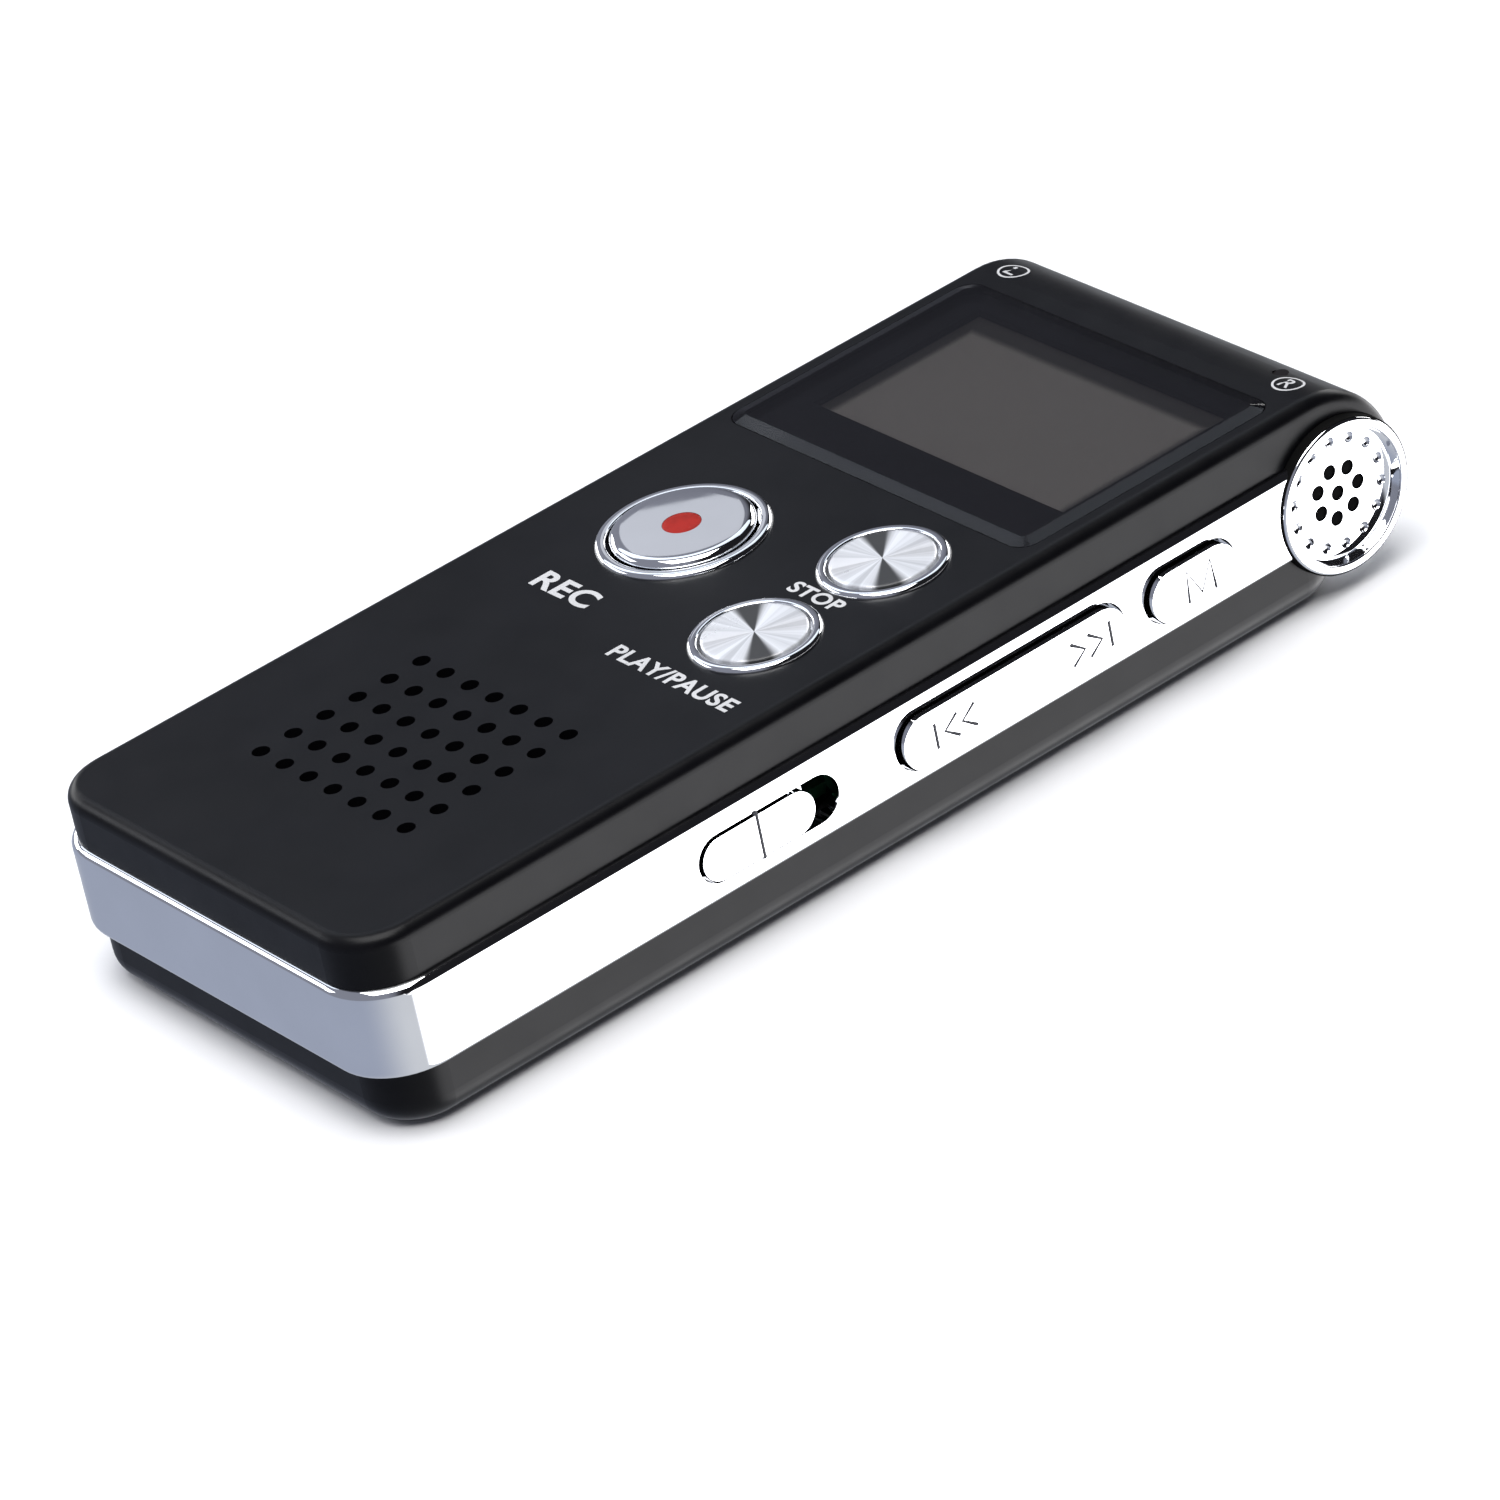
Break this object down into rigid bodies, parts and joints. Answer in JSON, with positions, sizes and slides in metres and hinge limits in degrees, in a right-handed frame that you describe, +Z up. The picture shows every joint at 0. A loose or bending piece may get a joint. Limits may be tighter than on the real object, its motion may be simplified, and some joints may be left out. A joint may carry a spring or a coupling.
{
  "type": "handheld voice recorder",
  "caption": "Pocket voice recorder with display, record, play and stop keys, side rockers, hold slider, speaker grille and a microphone barrel across one end.",
  "frame": {"origin": "centre of the footprint, on the back face that the recorder lies on", "axes": "+Z up through the front face, +Y along the body to the microphone end, +X to the side with the menu key, skip rocker and hold slider"},
  "size_m": [0.0358, 0.084, 0.0148],
  "materials": {
    "black_case": "satin",
    "chrome_plate": "polished",
    "spun_metal": "radially brushed",
    "red_enamel": "gloss",
    "window_plastic": "gloss",
    "display_glass": "satin",
    "white_plastic": "matte",
    "circuit_board": "satin",
    "switch_black": "matte",
    "steel": "satin",
    "rubber": "matte",
    "mesh_cloth": "woven",
    "paper_cone": "matte",
    "battery_foil": "satin",
    "wire": "satin"
  },
  "bodies": {
    "case": {"top_cover": "black_case", "lower_cover": "black_case", "chrome_band": "chrome_plate", "display_window": "window_plastic", "rec_bezel": "chrome_plate", "play_bezel": "chrome_plate", "stop_bezel": "chrome_plate", "skip_rocker_pin": "steel", "volume_rocker_pin": "steel", "slide_switch": "switch_black", "mic_barrel": "chrome_plate", "mic_cap_right": "chrome_plate", "mic_cap_left": "chrome_plate", "mic_capsule_right": "steel", "mic_capsule_left": "steel", "mic_boot_right": "rubber", "mic_boot_left": "rubber", "led_lens": "window_plastic", "status_led": "switch_black", "speaker_mesh": "mesh_cloth", "speaker_gasket": "rubber", "speaker_basket": "steel", "speaker_magnet": "steel", "speaker_cone": "paper_cone", "lcd_glass": "display_glass", "lcd_backlight": "white_plastic", "lcd_frame": "white_plastic", "circuit_board": "circuit_board", "rec_switch": "switch_black", "play_switch": "switch_black", "stop_switch": "switch_black", "menu_switch": "switch_black", "skip_back_switch": "switch_black", "skip_forward_switch": "switch_black", "volume_down_switch": "switch_black", "volume_up_switch": "switch_black", "usb_socket": "steel", "processor_chip": "switch_black", "memory_chip": "switch_black", "audio_chip": "switch_black", "clock_crystal": "steel", "board_components": "steel", "battery": "battery_foil", "battery_leads": "wire", "speaker_leads": "wire", "mic_leads": "wire", "case_screws": "steel", "board_screws": "steel", "line_jack": "switch_black", "earphone_jack": "switch_black"},
    "rec_key": {"rec_button": "chrome_plate", "rec_dot": "red_enamel"},
    "play_key": {"play_button": "spun_metal"},
    "stop_key": {"stop_button": "spun_metal"},
    "menu_key": {"menu_button": "chrome_plate"},
    "skip_key": {"skip_rocker": "chrome_plate"},
    "volume_key": {"volume_rocker": "chrome_plate"},
    "hold_slide": {"hold_slider": "chrome_plate", "slide_lever": "switch_black"}
  },
  "joints": [
    {"name": "rec_press", "type": "slide", "parent": "case", "child": "rec_key", "axis": [0, 0, -1], "range_m": [0, 0.00035], "stiffness_N_per_m": 300, "springref_m": -0.0003},
    {"name": "play_press", "type": "slide", "parent": "case", "child": "play_key", "axis": [0, 0, -1], "range_m": [0, 0.00035], "stiffness_N_per_m": 300, "springref_m": -0.0003},
    {"name": "stop_press", "type": "slide", "parent": "case", "child": "stop_key", "axis": [0, 0, -1], "range_m": [0, 0.00035], "stiffness_N_per_m": 300, "springref_m": -0.0003},
    {"name": "menu_press", "type": "slide", "parent": "case", "child": "menu_key", "axis": [-1, 0, 0], "range_m": [0, 0.00035], "stiffness_N_per_m": 300, "springref_m": -0.0003},
    {"name": "skip_rock", "type": "hinge", "parent": "case", "child": "skip_key", "pos_m": [0.0144, 0.00823, 0.00717], "axis": [0, 0, 1], "range_deg": [-2, 2], "stiffness_Nm_per_rad": 0.05},
    {"name": "volume_rock", "type": "hinge", "parent": "case", "child": "volume_key", "pos_m": [-0.0144, 0.00823, 0.00717], "axis": [0, 0, 1], "range_deg": [-2, 2], "stiffness_Nm_per_rad": 0.05},
    {"name": "hold_travel", "type": "slide", "parent": "case", "child": "hold_slide", "axis": [0, 1, 0], "range_m": [0, 0.0018]}
  ]
}
